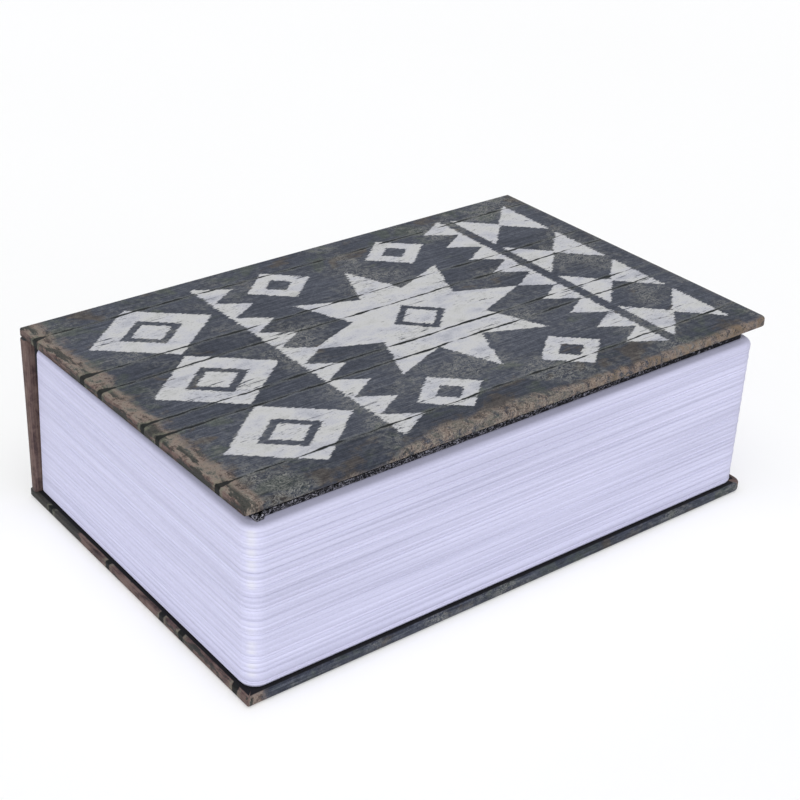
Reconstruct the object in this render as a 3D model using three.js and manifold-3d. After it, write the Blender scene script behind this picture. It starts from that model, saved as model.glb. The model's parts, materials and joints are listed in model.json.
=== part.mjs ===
// Book diversion safe: a hardcover case around a moulded page block, with a steel box,
// a hinged steel lid and a key lock hidden under the front cover.
// Millimetres, +Z up. The book lies on its back cover.
// Inside the assembly x runs from the spine edge to the fore-edge and y from tail to head.

import * as THREE from 'three';
import { mergeVertices } from 'three/addons/utils/BufferGeometryUtils.js';
import Module from 'manifold-3d';

const wasm = await Module();
wasm.setup();

// Case: front cover, spine and back cover
const caseLength = 180;
const caseWidth = 117;
const coverCornerRadius = 2.4;
const frontCoverSetback = 0.7;
const wrapThickness = 0.3;
const liningThickness = 0.3;
const boardThickness = 1.5;
const glueGap = 0.25;
const turnInWidth = 14;
const spineInset = 1;
const jointClearance = 0.3;
const stripThickness = 0.3;
const stripHeight = 11;
const stripEndInset = 3;

// Moulded page block
const blockHeight = 48.5;
const blockForeInset = 1.7;
const blockEndInset = 1.7;
const blockLean = 2.6;
const blockWall = 2.4;
const blockSpineWall = 1.8;
const blockForeRadius = 4.8;
const blockSpineRadius = 1.2;
const blockRimThickness = 2.4;
const blockFootThickness = 1.6;
const footFillet = 1.4;
const rimRounding = 1.1;
const ribDepth = 0.4;
const ribCount = 34;
const ribThicknessShare = 0.32;
const ribSetbackShare = 0.35;
const grooveShare = 0.42;
const ribPhase = 2.4;
const ribSecondPhase = 5.1;

// Steel box and lid
const fit = 0.3;
const boxSheet = 0.8;
const boxCornerRadius = 3;
const flangeWidth = 1.8;
const lidSheet = 0.8;
const lidMargin = 3.4;
const lidEarLength = 1;
const lidEarWidth = 2.3;
const lidCornerRadius = 0.8;
const lipSpineSetback = 5;
const knuckleRadius = 1.5;
const knuckleCount = 5;
const hingeEndInset = 14;
const pinRadius = 0.8;
const pinOverhang = 0.6;
const tapeThickness = 0.8;
const tapeWidth = 20;
const tapeLength = 130;
const matThickness = 1.5;
const matMargin = 1;

// Key lock
const lockForeDistance = 25;
const lockHeadRadius = 9;
const lockHeadHeight = 2.1;
const lockHeadChamfer = 0.5;
const barrelRadius = 7.8;
const barrelDepth = 16.9;
const barrelLip = 2;
const plugRadius = 5;
const plugRecess = 0.3;
const plugTailRadius = 3.4;
const tailSquare = 4.4;
const keywayWidth = 1.4;
const keywayLength = 7.4;
const keywayDepth = 14;
const waferCount = 4;
const waferWidth = 4.6;
const waferLength = 8.6;
const waferThickness = 1;
const waferPitch = 2.7;
const waferWindowWidth = 2;
const waferWindowLength = 6.4;
const nutWidth = 20;
const nutThickness = 4;
const washerRadius = 11;
const washerThickness = 0.8;
const washerToothCount = 12;
const washerToothDepth = 0.9;
const camThickness = 1.6;
const camHalfWidth = 5;
const camReach = 14;
const camWasherRadius = 4.4;
const camWasherThickness = 0.6;
const screwHeadRadius = 4;
const screwHeadHeight = 1.8;
const screwRadius = 1.4;
const screwLength = 5;
const screwSlotWidth = 1;
const screwSlotDepth = 0.9;
const keeperWidth = 24;
const keeperReach = 5;
const keeperLegHeight = 10;
const keeperSheet = 1;

// Shared cutting overrun and roundness
const overrun = 2;
const roundSides = 40;
const smallSides = 20;
const foreCornerSteps = 8;
const spineCornerSteps = 3;
const filletSteps = 4;

// Places worked out from the sizes above
const coverThickness = 2 * wrapThickness + 2 * glueGap + boardThickness;
const halfLength = caseLength / 2;
const spineInnerX = spineInset + coverThickness;
const blockBottomZ = coverThickness;
const blockTopZ = blockBottomZ + blockHeight;
const blockForeX = caseWidth - blockForeInset;
const blockHalf = halfLength - blockEndInset;
const blockSpineFootX = spineInnerX + fit;
const blockSpineTopX = blockSpineFootX + blockLean;
const pocketSpineX = blockSpineTopX + blockSpineWall;
const lidForeX = blockForeX - lidMargin;
const lidHalf = blockHalf - lidMargin;
const flangeForeX = lidForeX - lidSheet - fit;
const flangeHalf = lidHalf - lidSheet - fit;
const boxForeX = flangeForeX - flangeWidth;
const boxHalf = flangeHalf - flangeWidth;
const lidHingeX = pocketSpineX + fit + knuckleRadius;
const boxSpineX = lidHingeX + knuckleRadius - boxSheet;
const boxBottomZ = coverThickness + tapeThickness;
const boxTopZ = blockTopZ + boxSheet;
const lidUnderZ = boxTopZ + fit;
const lidTopZ = lidUnderZ + lidSheet;
const lidHingeZ = lidTopZ - knuckleRadius;
const lipBottomZ = blockTopZ + fit;
const lockX = caseWidth - lockForeDistance;
// The joint is level with the lid, and the spine ends just below it
const coverHingeZ = lidTopZ;
const spineTopZ = coverHingeZ - jointClearance;
// The closed front cover lies on the near side of the lock head, which tilts it up towards the fore-edge
const coverTilt = Math.atan2(lockHeadHeight + fit, lockX - lockHeadRadius);

// A closed three.js geometry as a solid, and back again
function solidFrom(geometry) {
  const plain = geometry.clone();
  plain.deleteAttribute('normal');
  plain.deleteAttribute('uv');
  const merged = mergeVertices(plain);
  const vertProperties = new Float32Array(merged.attributes.position.array);
  const triVerts = new Uint32Array(merged.index.array);
  return new wasm.Manifold(new wasm.Mesh({ numProp: 3, vertProperties, triVerts }));
}

function geometryFrom(solid) {
  const mesh = solid.getMesh();
  const geometry = new THREE.BufferGeometry();
  geometry.setAttribute('position', new THREE.BufferAttribute(new Float32Array(mesh.vertProperties), 3));
  geometry.setIndex(new THREE.BufferAttribute(new Uint32Array(mesh.triVerts), 1));
  geometry.computeVertexNormals();
  return geometry;
}

// Straight-sided box between two corners
function slab(x0, x1, y0, y1, z0, z1) {
  const geometry = new THREE.BoxGeometry(x1 - x0, y1 - y0, z1 - z0);
  geometry.translate((x0 + x1) / 2, (y0 + y1) / 2, (z0 + z1) / 2);
  return solidFrom(geometry);
}

// Flat plate with its own radius at the spine-side and the fore-edge corners
function roundedPlate(x0, x1, half, z0, z1, spineRadius, foreRadius) {
  const outline = new THREE.Shape();
  outline.moveTo(x0 + spineRadius, -half);
  outline.lineTo(x1 - foreRadius, -half);
  outline.absarc(x1 - foreRadius, -half + foreRadius, foreRadius, -Math.PI / 2, 0);
  outline.lineTo(x1, half - foreRadius);
  outline.absarc(x1 - foreRadius, half - foreRadius, foreRadius, 0, Math.PI / 2);
  outline.lineTo(x0 + spineRadius, half);
  if (spineRadius > 0) {
    outline.absarc(x0 + spineRadius, half - spineRadius, spineRadius, Math.PI / 2, Math.PI);
    outline.lineTo(x0, -half + spineRadius);
    outline.absarc(x0 + spineRadius, -half + spineRadius, spineRadius, Math.PI, Math.PI * 1.5);
  } else {
    outline.lineTo(x0, -half);
  }
  const geometry = new THREE.ExtrudeGeometry(outline, {
    depth: z1 - z0,
    bevelEnabled: false,
    curveSegments: foreCornerSteps,
  });
  geometry.translate(0, 0, z0);
  return solidFrom(geometry);
}

// Upright cylinder
function post(radius, x, y, z0, z1, sides) {
  const geometry = new THREE.CylinderGeometry(radius, radius, z1 - z0, sides);
  geometry.rotateX(Math.PI / 2);
  geometry.translate(x, y, (z0 + z1) / 2);
  return solidFrom(geometry);
}

// Cylinder lying along y
function rod(radius, x, z, y0, y1, sides) {
  const geometry = new THREE.CylinderGeometry(radius, radius, y1 - y0, sides);
  geometry.translate(x, (y0 + y1) / 2, z);
  return solidFrom(geometry);
}

// Materials, one for each kind of surface
function printedPaper() {
  return new THREE.MeshStandardMaterial({ color: 0x55565a, roughness: 0.62, metalness: 0 });
}

function greyBoard() {
  return new THREE.MeshStandardMaterial({ color: 0x8c8478, roughness: 0.9, metalness: 0 });
}

function blackPaper() {
  return new THREE.MeshStandardMaterial({ color: 0x1d1d20, roughness: 0.8, metalness: 0 });
}

function pagePlastic() {
  return new THREE.MeshStandardMaterial({ color: 0xcbcbe4, roughness: 0.5, metalness: 0 });
}

function blackSteel() {
  return new THREE.MeshStandardMaterial({ color: 0x232326, roughness: 0.55, metalness: 0.1 });
}

function brightSteel() {
  return new THREE.MeshStandardMaterial({ color: 0xb9babd, roughness: 0.35, metalness: 1 });
}

function chromePlate() {
  return new THREE.MeshStandardMaterial({ color: 0xd6d7da, roughness: 0.15, metalness: 1 });
}

function brassMetal() {
  return new THREE.MeshStandardMaterial({ color: 0xc9a45c, roughness: 0.35, metalness: 1 });
}

function blackFelt() {
  return new THREE.MeshStandardMaterial({ color: 0x19191b, roughness: 0.98, metalness: 0 });
}

function foamTape() {
  return new THREE.MeshStandardMaterial({ color: 0xe8e6de, roughness: 0.9, metalness: 0 });
}

function addPart(parent, name, solid, material) {
  const mesh = new THREE.Mesh(geometryFrom(solid), material);
  mesh.name = name;
  parent.add(mesh);
  return mesh;
}

// A cover lying with its inner face at z = 0 and its printed face at z = coverThickness.
// The wrap covers the printed face and all four edges, and turns in over three edges of the inner face.
function coverWrap(x0, x1) {
  const skin = roundedPlate(x0, x1, halfLength, 0, coverThickness, coverCornerRadius, coverCornerRadius);
  const room = roundedPlate(
    x0 + wrapThickness, x1 - wrapThickness, halfLength - wrapThickness,
    wrapThickness, coverThickness - wrapThickness,
    coverCornerRadius - wrapThickness, coverCornerRadius - wrapThickness,
  );
  const window = slab(
    x0 + wrapThickness, x1 - turnInWidth,
    turnInWidth - halfLength, halfLength - turnInWidth,
    -overrun, coverThickness / 2,
  );
  return skin.subtract(room).subtract(window);
}

function coverBoard(x0, x1) {
  const edge = wrapThickness + glueGap;
  return roundedPlate(
    x0 + edge, x1 - edge, halfLength - edge, edge, edge + boardThickness,
    coverCornerRadius - edge, coverCornerRadius - edge,
  );
}

function coverLining(x0, x1) {
  return slab(
    x0 + wrapThickness + glueGap, x1 - turnInWidth - glueGap,
    turnInWidth + glueGap - halfLength, halfLength - turnInWidth - glueGap,
    0, liningThickness,
  );
}

function addFrontCover(assembly) {
  const hinged = new THREE.Group();
  hinged.position.set(0, 0, coverHingeZ);
  hinged.rotation.y = -coverTilt;
  assembly.add(hinged);
  const spineEdge = jointClearance;
  const foreEdge = caseWidth - frontCoverSetback;
  addPart(hinged, 'front_wrap', coverWrap(spineEdge, foreEdge), printedPaper());
  addPart(hinged, 'front_board', coverBoard(spineEdge, foreEdge), greyBoard());
  addPart(hinged, 'front_lining', coverLining(spineEdge, foreEdge), blackPaper());
}

// The back cover is the same cover turned over, so its printed face is the book's underside
function addBackCover(assembly) {
  const upturned = (solid) => solid.mirror([0, 0, 1]).translate([0, 0, coverThickness]);
  addPart(assembly, 'back_wrap', upturned(coverWrap(0, caseWidth)), printedPaper());
  addPart(assembly, 'back_board', upturned(coverBoard(0, caseWidth)), greyBoard());
  addPart(assembly, 'back_lining', upturned(coverLining(0, caseWidth)), blackPaper());
}

// The spine stands on the back cover. Its wrap covers the outer face and turns in over both ends.
function addSpine(assembly) {
  const bottom = coverThickness;
  const skin = slab(spineInset, spineInnerX, -halfLength, halfLength, bottom, spineTopZ);
  const room = slab(
    spineInset + wrapThickness, spineInnerX - wrapThickness,
    wrapThickness - halfLength, halfLength - wrapThickness,
    bottom - overrun, spineTopZ + overrun,
  );
  const window = slab(
    spineInset + coverThickness / 2, spineInnerX + overrun,
    turnInWidth - halfLength, halfLength - turnInWidth,
    bottom - overrun, spineTopZ + overrun,
  );
  addPart(assembly, 'spine_wrap', skin.subtract(room).subtract(window), printedPaper());
  const edge = wrapThickness + glueGap;
  const board = slab(
    spineInset + edge, spineInset + edge + boardThickness,
    edge - halfLength, halfLength - edge, bottom, spineTopZ,
  );
  addPart(assembly, 'spine_board', board, greyBoard());
  const strip = slab(
    spineInnerX, spineInnerX + stripThickness,
    stripEndInset - halfLength, halfLength - stripEndInset,
    spineTopZ - stripHeight, spineTopZ,
  );
  addPart(assembly, 'joint_strip', strip, blackPaper());
}

// One level of the page block's outline, drawn in by inset on its three ribbed sides
function blockRing(z, inset) {
  const rise = (z - blockBottomZ) / blockHeight;
  const spineX = blockSpineFootX + blockLean * rise;
  const half = blockHalf - inset;
  const foreRadius = blockForeRadius - inset;
  const foreCentreX = blockForeX - blockForeRadius;
  const foreCentreY = blockHalf - blockForeRadius;
  const spineCentreX = spineX + blockSpineRadius;
  const spineCentreY = half - blockSpineRadius;
  const corners = [
    [foreCentreX, -foreCentreY, foreRadius, -Math.PI / 2, foreCornerSteps],
    [foreCentreX, foreCentreY, foreRadius, 0, foreCornerSteps],
    [spineCentreX, spineCentreY, blockSpineRadius, Math.PI / 2, spineCornerSteps],
    [spineCentreX, -spineCentreY, blockSpineRadius, Math.PI, spineCornerSteps],
  ];
  const ring = [];
  for (const [x, y, radius, start, steps] of corners) {
    for (let step = 0; step <= steps; step += 1) {
      const angle = start + (step / steps) * (Math.PI / 2);
      ring.push([x + radius * Math.cos(angle), y + radius * Math.sin(angle), z]);
    }
  }
  return ring;
}

// Uneven ribs: the thickness of each and how far it stands back follow two slow waves
function ribShares() {
  const shares = [];
  for (let rib = 0; rib < ribCount; rib += 1) {
    const wave = Math.sin(rib * ribPhase) + Math.sin(rib * ribSecondPhase);
    shares.push(1 + (ribThicknessShare * wave) / 2);
  }
  return shares;
}

function blockLevels() {
  const levels = [];
  for (let step = 0; step <= filletSteps; step += 1) {
    const angle = (step / filletSteps) * (Math.PI / 2);
    levels.push([blockBottomZ + footFillet * (1 - Math.cos(angle)), footFillet * (1 - Math.sin(angle))]);
  }
  const shares = ribShares();
  const total = shares.reduce((sum, share) => sum + share, 0);
  const ribbedHeight = blockHeight - footFillet - rimRounding;
  const halfGroove = (grooveShare * ribbedHeight) / ribCount / 2;
  let z = blockBottomZ + footFillet;
  for (let rib = 0; rib < ribCount - 1; rib += 1) {
    z += (shares[rib] / total) * ribbedHeight;
    const setback = ribSetbackShare * ribDepth * (0.5 + Math.sin(rib * ribSecondPhase) / 2);
    const nextSetback = ribSetbackShare * ribDepth * (0.5 + Math.sin((rib + 1) * ribSecondPhase) / 2);
    levels.push([z - halfGroove, setback]);
    levels.push([z, ribDepth]);
    levels.push([z + halfGroove, nextSetback]);
  }
  for (let step = 0; step <= filletSteps; step += 1) {
    const angle = (step / filletSteps) * (Math.PI / 2);
    levels.push([blockTopZ - rimRounding * (1 - Math.sin(angle)), rimRounding * (1 - Math.cos(angle))]);
  }
  return levels;
}

// Rings stacked into one closed solid, with a fan over each end
function loft(rings) {
  const count = rings[0].length;
  const positions = rings.flat(2);
  const index = [];
  for (let level = 0; level < rings.length - 1; level += 1) {
    for (let point = 0; point < count; point += 1) {
      const next = (point + 1) % count;
      const a = level * count + point;
      const b = level * count + next;
      index.push(a, b, b + count);
      index.push(a, b + count, a + count);
    }
  }
  const middle = (ring) => ring.reduce((sum, p) => sum.map((value, axis) => value + p[axis] / count), [0, 0, 0]);
  const bottomCentre = rings.length * count;
  const topCentre = bottomCentre + 1;
  positions.push(...middle(rings[0]), ...middle(rings[rings.length - 1]));
  const topStart = (rings.length - 1) * count;
  for (let point = 0; point < count; point += 1) {
    const next = (point + 1) % count;
    index.push(bottomCentre, next, point);
    index.push(topCentre, topStart + point, topStart + next);
  }
  const geometry = new THREE.BufferGeometry();
  geometry.setAttribute('position', new THREE.Float32BufferAttribute(positions, 3));
  geometry.setIndex(index);
  return solidFrom(geometry);
}

// Ribbed frame with a rim at the top that carries the box and a foot at the bottom that is glued down
function addPageBlock(assembly) {
  const outside = loft(blockLevels().map(([z, inset]) => blockRing(z, inset)));
  const opening = slab(
    pocketSpineX, boxForeX + fit, -boxHalf - fit, boxHalf + fit,
    blockBottomZ - overrun, blockTopZ + overrun,
  );
  const wallHalf = blockHalf - blockWall;
  const pocket = roundedPlate(
    pocketSpineX, blockForeX - blockWall, wallHalf,
    blockBottomZ + blockFootThickness, blockTopZ - blockRimThickness,
    0, blockForeRadius - blockWall,
  );
  addPart(assembly, 'page_block', outside.subtract(opening).subtract(pocket), pagePlastic());
}

// Ends of hinge knuckle number index, counted from the tail end
function knuckleSpan(index) {
  const length = (2 * (boxHalf - hingeEndInset)) / knuckleCount;
  const start = hingeEndInset - boxHalf + index * length;
  return [start + fit / 2, start + length - fit / 2];
}

// Knuckles of one leaf: even numbers belong to the box, odd numbers to the lid
function knuckles(first) {
  const solids = [];
  for (let index = first; index < knuckleCount; index += 2) {
    const [y0, y1] = knuckleSpan(index);
    solids.push(rod(knuckleRadius, lidHingeX, lidHingeZ, y0, y1, smallSides));
  }
  return solids;
}

// Room for the other leaf's knuckles, a clearance wider all round
function knuckleRooms(first) {
  const reach = knuckleRadius + fit;
  const rooms = [];
  for (let index = first; index < knuckleCount; index += 2) {
    const [y0, y1] = knuckleSpan(index);
    rooms.push(slab(
      lidHingeX - reach, lidHingeX + reach, y0 - fit, y1 + fit,
      lidHingeZ - reach, lidHingeZ + reach,
    ));
  }
  return rooms;
}

function pinBore() {
  return rod(pinRadius + fit, lidHingeX, lidHingeZ, -boxHalf, boxHalf, smallSides);
}

// Folded tray with a flange on three sides; the fourth side carries the hinge
function addBoxBody(assembly) {
  const outer = roundedPlate(
    boxSpineX, boxForeX, boxHalf, boxBottomZ, boxTopZ, boxCornerRadius, boxCornerRadius,
  );
  const flange = roundedPlate(
    boxSpineX + boxCornerRadius, flangeForeX, flangeHalf, blockTopZ, boxTopZ,
    0, lidCornerRadius,
  );
  const inner = roundedPlate(
    boxSpineX + boxSheet, boxForeX - boxSheet, boxHalf - boxSheet,
    boxBottomZ + boxSheet, boxTopZ + overrun,
    boxCornerRadius - boxSheet, boxCornerRadius - boxSheet,
  );
  // The hinged wall ends at the middle of the barrel
  const wallTop = slab(
    boxSpineX - overrun, boxSpineX + boxSheet, -boxHalf, boxHalf, lidHingeZ, boxTopZ + overrun,
  );
  let body = outer.add(flange).subtract(inner).subtract(wallTop);
  for (const knuckle of knuckles(0)) body = body.add(knuckle);
  for (const room of knuckleRooms(1)) body = body.subtract(room);
  addPart(assembly, 'box_body', body.subtract(pinBore()), blackSteel());
}

// Lid plate with turned-down lips on three sides and a small ear at the tail end of the front lip
function addBoxLid(assembly) {
  const plate = roundedPlate(lidHingeX, lidForeX, lidHalf, lipBottomZ, lidTopZ, 0, lidCornerRadius);
  const hollow = slab(
    lidHingeX - overrun, lidForeX - lidSheet, lidSheet - lidHalf, lidHalf - lidSheet,
    blockTopZ - overrun, lidUnderZ,
  );
  const lipEnds = slab(
    lidHingeX - overrun, lidHingeX + lipSpineSetback, -halfLength, halfLength,
    blockTopZ - overrun, lidUnderZ,
  );
  const ear = slab(
    lidForeX - lidCornerRadius, lidForeX + lidEarLength, -lidHalf, lidEarWidth - lidHalf,
    lipBottomZ, lidTopZ,
  );
  let lid = plate.subtract(hollow).subtract(lipEnds).add(ear);
  for (const knuckle of knuckles(1)) lid = lid.add(knuckle);
  for (const room of knuckleRooms(0)) lid = lid.subtract(room);
  const lockHole = post(barrelRadius + fit, lockX, 0, blockTopZ - overrun, lidTopZ + overrun, roundSides);
  addPart(assembly, 'box_lid', lid.subtract(pinBore()).subtract(lockHole), blackSteel());
  const pinHalf = boxHalf - hingeEndInset + pinOverhang;
  addPart(assembly, 'hinge_pin', rod(pinRadius, lidHingeX, lidHingeZ, -pinHalf, pinHalf, smallSides), brightSteel());
}

// Bracket on the inside of the front wall that the cam turns under
function addKeeper(assembly) {
  const wallX = boxForeX - boxSheet;
  const ledgeZ = lidTopZ - barrelDepth;
  const leg = slab(
    wallX - keeperSheet, wallX, -keeperWidth / 2, keeperWidth / 2, ledgeZ, ledgeZ + keeperLegHeight,
  );
  const ledge = slab(
    wallX - keeperReach, wallX, -keeperWidth / 2, keeperWidth / 2, ledgeZ, ledgeZ + keeperSheet,
  );
  addPart(assembly, 'lock_keeper', leg.add(ledge), brightSteel());
}

function addMatAndTape(assembly) {
  const floorZ = boxBottomZ + boxSheet;
  const edge = boxSheet + matMargin;
  const mat = roundedPlate(
    boxSpineX + edge, boxForeX - edge, boxHalf - edge, floorZ, floorZ + matThickness,
    boxCornerRadius - boxSheet, boxCornerRadius - boxSheet,
  );
  addPart(assembly, 'box_mat', mat, blackFelt());
  const quarter = (boxForeX - boxSpineX) / 4;
  for (const [name, x] of [['tape_spine_side', boxSpineX + quarter], ['tape_fore_side', boxForeX - quarter]]) {
    const tape = slab(
      x - tapeWidth / 2, x + tapeWidth / 2, -tapeLength / 2, tapeLength / 2, coverThickness, boxBottomZ,
    );
    addPart(assembly, name, tape, foamTape());
  }
}

// Lock housing: head on the lid, body through it, and an inward lip at the bottom that keeps the plug in
function lockBarrel() {
  const profile = [
    new THREE.Vector2(plugTailRadius + fit, -barrelDepth),
    new THREE.Vector2(barrelRadius, -barrelDepth),
    new THREE.Vector2(barrelRadius, 0),
    new THREE.Vector2(lockHeadRadius, 0),
    new THREE.Vector2(lockHeadRadius, lockHeadHeight - lockHeadChamfer),
    new THREE.Vector2(lockHeadRadius - lockHeadChamfer, lockHeadHeight),
    new THREE.Vector2(plugRadius + fit, lockHeadHeight),
    new THREE.Vector2(plugRadius + fit, barrelLip - barrelDepth),
    new THREE.Vector2(plugTailRadius + fit, barrelLip - barrelDepth),
  ];
  profile.push(profile[0].clone());
  const geometry = new THREE.LatheGeometry(profile, roundSides);
  geometry.rotateX(Math.PI / 2);
  return solidFrom(geometry);
}

// Height of wafer number index above the lid's top face
function waferZ(index) {
  return -waferPitch * (index + 1);
}

function lockPlug() {
  const shoulder = barrelLip + fit - barrelDepth;
  const tailEnd = -barrelDepth - fit - camThickness;
  let plug = post(plugRadius, 0, 0, shoulder, lockHeadHeight - plugRecess, roundSides);
  plug = plug.add(post(plugTailRadius, 0, 0, -barrelDepth - fit, shoulder + overrun, smallSides));
  const square = tailSquare / 2;
  plug = plug.add(slab(-square, square, -square, square, tailEnd, shoulder));
  const keyway = slab(
    -keywayWidth / 2, keywayWidth / 2, -keywayLength / 2, keywayLength / 2,
    lockHeadHeight - keywayDepth, lockHeadHeight + overrun,
  );
  plug = plug.subtract(keyway);
  for (let index = 0; index < waferCount; index += 1) {
    const z = waferZ(index);
    plug = plug.subtract(slab(
      -waferWidth / 2 - fit, waferWidth / 2 + fit, -plugRadius - overrun, plugRadius + overrun,
      z - waferThickness / 2 - fit, z + waferThickness / 2 + fit,
    ));
  }
  return plug.subtract(post(screwRadius + fit, 0, 0, tailEnd - overrun, tailEnd + screwLength + fit, smallSides));
}

function wafer(index) {
  const z = waferZ(index);
  const plate = slab(
    -waferWidth / 2, waferWidth / 2, -waferLength / 2, waferLength / 2,
    z - waferThickness / 2, z + waferThickness / 2,
  );
  const window = slab(
    -waferWindowWidth / 2, waferWindowWidth / 2, -waferWindowLength / 2, waferWindowLength / 2,
    z - waferThickness, z + waferThickness,
  );
  return plate.subtract(window);
}

function lockWasher(underZ) {
  const ring = post(washerRadius, 0, 0, underZ - washerThickness, underZ, roundSides);
  let washer = ring.subtract(post(barrelRadius + fit, 0, 0, underZ - overrun, underZ + overrun, roundSides));
  for (let tooth = 0; tooth < washerToothCount; tooth += 1) {
    const notch = slab(
      washerRadius - washerToothDepth, washerRadius + overrun,
      -washerToothDepth / 2, washerToothDepth / 2, underZ - overrun, underZ + overrun,
    );
    washer = washer.subtract(notch.rotate([0, 0, (360 * tooth) / washerToothCount]));
  }
  return washer;
}

function lockNut(topZ) {
  const corner = nutWidth / Math.sqrt(3);
  const hexagon = post(corner, 0, 0, topZ - nutThickness, topZ, 6);
  return hexagon.subtract(post(barrelRadius + fit, 0, 0, topZ - nutThickness - overrun, topZ + overrun, roundSides));
}

// Flat lever, round at both ends, that points along y while the lock is open
function lockCam(topZ) {
  const outline = new THREE.Shape();
  outline.absarc(0, 0, camHalfWidth, Math.PI, 2 * Math.PI);
  outline.lineTo(camHalfWidth, camReach - camHalfWidth);
  outline.absarc(0, camReach - camHalfWidth, camHalfWidth, 0, Math.PI);
  const geometry = new THREE.ExtrudeGeometry(outline, {
    depth: camThickness,
    bevelEnabled: false,
    curveSegments: foreCornerSteps,
  });
  geometry.translate(0, 0, topZ - camThickness);
  const square = tailSquare / 2 + fit;
  const hole = slab(-square, square, -square, square, topZ - camThickness - overrun, topZ + overrun);
  return solidFrom(geometry).subtract(hole);
}

function camWasher(topZ) {
  const ring = post(camWasherRadius, 0, 0, topZ - camWasherThickness, topZ, smallSides);
  return ring.subtract(post(screwRadius + fit, 0, 0, topZ - overrun, topZ + overrun, smallSides));
}

function camScrew(seatZ) {
  const head = post(screwHeadRadius, 0, 0, seatZ - screwHeadHeight, seatZ, smallSides);
  const shank = post(screwRadius, 0, 0, seatZ - screwHeadHeight / 2, seatZ + screwLength, smallSides);
  const slot = slab(
    -screwHeadRadius - overrun, screwHeadRadius + overrun, -screwSlotWidth / 2, screwSlotWidth / 2,
    seatZ - screwHeadHeight - overrun, seatZ - screwHeadHeight + screwSlotDepth,
  );
  return head.add(shank).subtract(slot);
}

function addLock(assembly) {
  const lock = new THREE.Group();
  lock.position.set(lockX, 0, lidTopZ);
  assembly.add(lock);
  const camTopZ = -barrelDepth - fit;
  const camWasherTopZ = camTopZ - camThickness;
  addPart(lock, 'lock_barrel', lockBarrel(), chromePlate());
  addPart(lock, 'lock_washer', lockWasher(-lidSheet), brightSteel());
  addPart(lock, 'lock_nut', lockNut(-lidSheet - washerThickness), brightSteel());
  addPart(lock, 'lock_plug', lockPlug(), chromePlate());
  for (let index = 0; index < waferCount; index += 1) {
    addPart(lock, `wafer_${index + 1}`, wafer(index), brassMetal());
  }
  addPart(lock, 'lock_cam', lockCam(camTopZ), brightSteel());
  addPart(lock, 'cam_washer', camWasher(camWasherTopZ), brightSteel());
  addPart(lock, 'cam_screw', camScrew(camWasherTopZ - camWasherThickness), brightSteel());
}

const safe = new THREE.Group();
const assembly = new THREE.Group();
assembly.position.x = -caseWidth / 2;
safe.add(assembly);
addBackCover(assembly);
addSpine(assembly);
addPageBlock(assembly);
addMatAndTape(assembly);
addBoxBody(assembly);
addKeeper(assembly);
addBoxLid(assembly);
addLock(assembly);
addFrontCover(assembly);

export default safe;
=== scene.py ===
import json
import math

import bmesh
import bpy
import numpy as np
from mathutils import Matrix, Vector


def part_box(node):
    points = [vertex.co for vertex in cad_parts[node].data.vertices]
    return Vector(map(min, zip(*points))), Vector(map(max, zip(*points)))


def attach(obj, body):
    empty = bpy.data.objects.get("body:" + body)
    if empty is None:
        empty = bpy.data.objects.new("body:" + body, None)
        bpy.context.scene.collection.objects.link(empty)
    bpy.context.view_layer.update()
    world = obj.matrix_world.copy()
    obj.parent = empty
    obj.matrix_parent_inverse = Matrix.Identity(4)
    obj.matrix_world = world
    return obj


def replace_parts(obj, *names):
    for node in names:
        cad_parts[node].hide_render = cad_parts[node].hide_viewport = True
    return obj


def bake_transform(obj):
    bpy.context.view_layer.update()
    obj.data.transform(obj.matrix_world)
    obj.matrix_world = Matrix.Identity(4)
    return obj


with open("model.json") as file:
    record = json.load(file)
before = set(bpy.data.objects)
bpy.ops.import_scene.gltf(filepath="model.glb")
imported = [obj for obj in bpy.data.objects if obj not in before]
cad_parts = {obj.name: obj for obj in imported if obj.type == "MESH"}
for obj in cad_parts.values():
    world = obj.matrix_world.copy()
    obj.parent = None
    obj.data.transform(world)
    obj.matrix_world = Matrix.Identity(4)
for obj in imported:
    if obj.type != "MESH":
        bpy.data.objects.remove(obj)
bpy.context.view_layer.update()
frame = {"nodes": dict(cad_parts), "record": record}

# Sizes in millimetres: X from the back cover's spine edge to its fore-edge, Y from tail to head with 0 in
# the middle, Z up. The row frame has X 0 in the middle of the book too.
MM = 0.001
HALF_WIDTH = 58.5
HALF_LENGTH = 90.0
THICK = 2.6  # wrapped board
BACK_FORE = 117.0
FRONT_SPINE, FRONT_FORE, FRONT_HALF = 0.48, 116.3, 89.75
FRONT_LINING = 0.3  # where the front lining's margin begins, the CAD's spine edge of the cover
COVER_TILT = math.atan2(2.4, 83.0)  # the cover rests on the lock's head, 2.4 high and 83 from the hinge
COVER_SKEW = math.radians(-0.24)
HINGE_Z = 53.0  # underside of the front cover at its hinge
SPINE_FACE, SPINE_TOP = 1.0, 52.95
TURN_IN, SPINE_MARGIN = 14.0, 1.5  # width of the wrap round a lining, and on its spine side
LINING_GAP = 0.2
BLOCK_BOTTOM, BLOCK_TOP = 2.6, 51.1
BLOCK_FORE, BLOCK_HALF, BLOCK_RADIUS = 115.3, 88.3, 4.8
QUARTER = [math.radians(15 * step) for step in range(7)]  # angles round a rounded edge


# Geometry


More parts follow.
